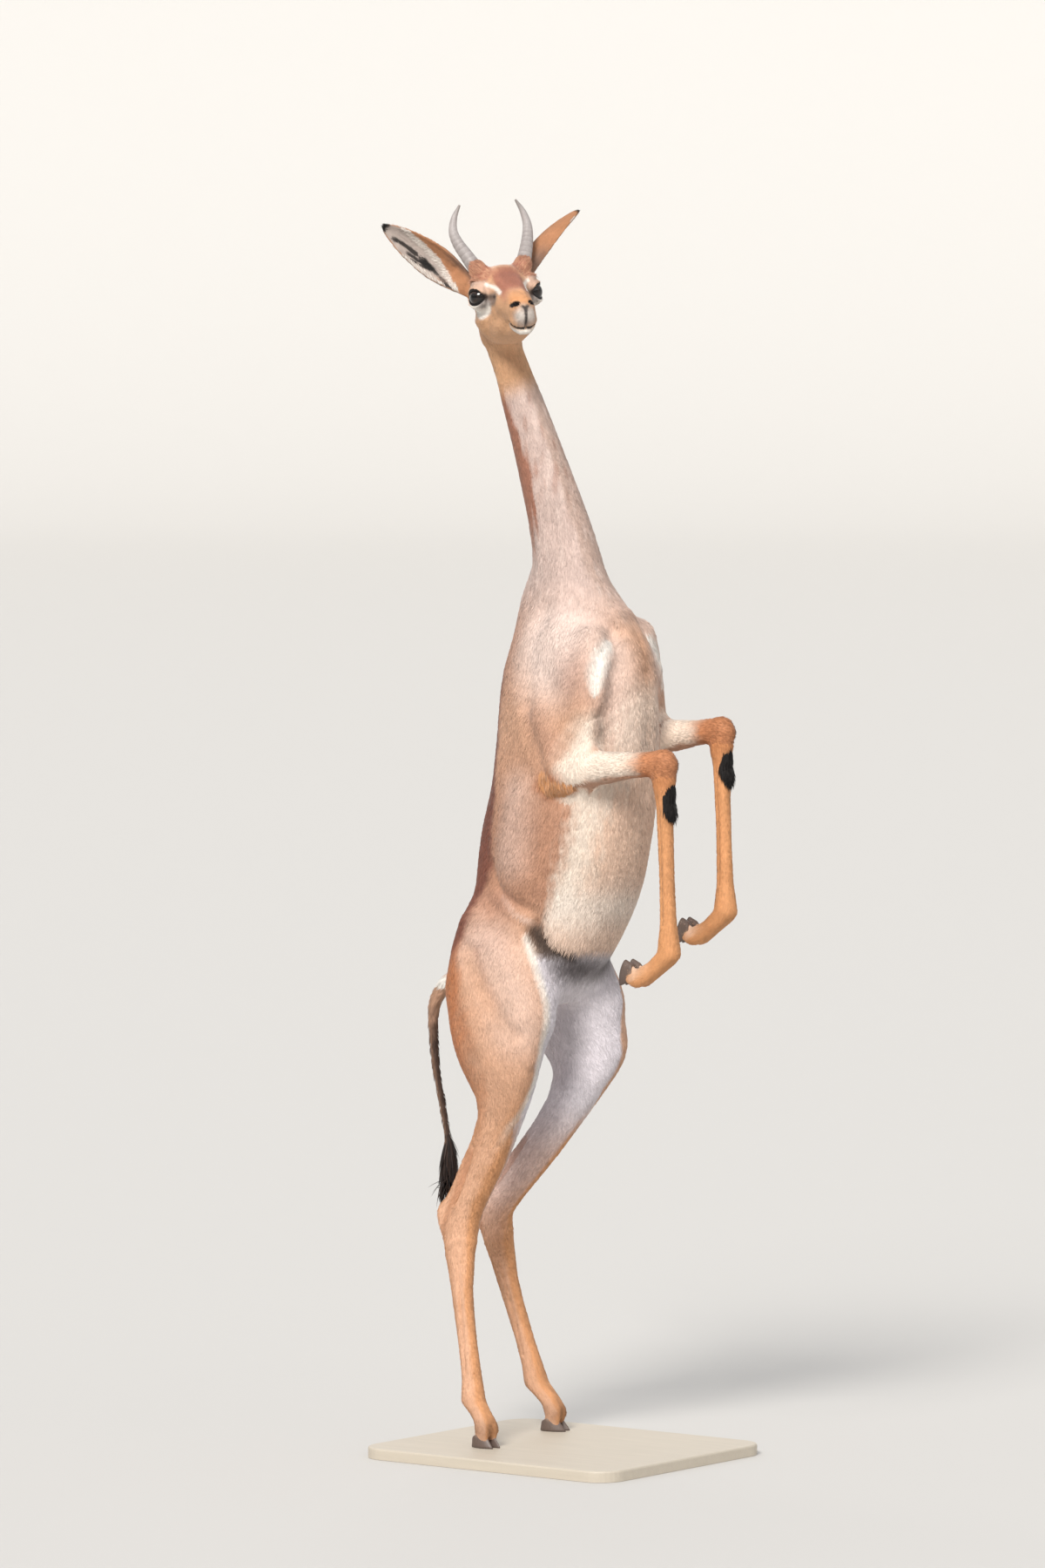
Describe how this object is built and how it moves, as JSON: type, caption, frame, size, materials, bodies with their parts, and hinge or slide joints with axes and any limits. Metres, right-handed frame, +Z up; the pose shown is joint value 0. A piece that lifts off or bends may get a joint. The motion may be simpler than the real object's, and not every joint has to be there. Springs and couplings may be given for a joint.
{
  "type": "gerenuk on a stand",
  "caption": "Life-size young male gerenuk standing upright on its hind legs, forefeet hanging, ringed horns and wide ears, on a flat base.",
  "frame": {"origin": "middle of the base's underside", "axes": "+Z up; +X the way the animal's chest and belly face; +Y the animal's left"},
  "size_m": [0.5638, 0.44, 2.0234],
  "materials": {
    "coat": "short matte hair, reddish brown above and cream below",
    "horn": "ringed grey-brown horn",
    "hoof": "dark satin hoof",
    "eye": "polished dark brown",
    "base_board": "pale matte board"
  },
  "bodies": {
    "root": {"cannon_fore_left": "coat", "cannon_fore_right": "coat", "cannon_hind_left": "coat", "cannon_hind_right": "coat", "ear_left": "coat", "ear_right": "coat", "eye_left": "eye", "eye_right": "eye", "forearm_left": "coat", "forearm_right": "coat", "head": "coat", "hoof_fore_left_inner": "hoof", "hoof_fore_left_outer": "hoof", "hoof_fore_right_inner": "hoof", "hoof_fore_right_outer": "hoof", "hoof_hind_left_inner": "hoof", "hoof_hind_left_outer": "hoof", "hoof_hind_right_inner": "hoof", "hoof_hind_right_outer": "hoof", "horn_left": "horn", "horn_right": "horn", "neck": "coat", "shank_left": "coat", "shank_right": "coat", "stand_base": "base_board", "tail": "coat", "thigh_left": "coat", "thigh_right": "coat", "torso": "coat"}
  },
  "joints": []
}
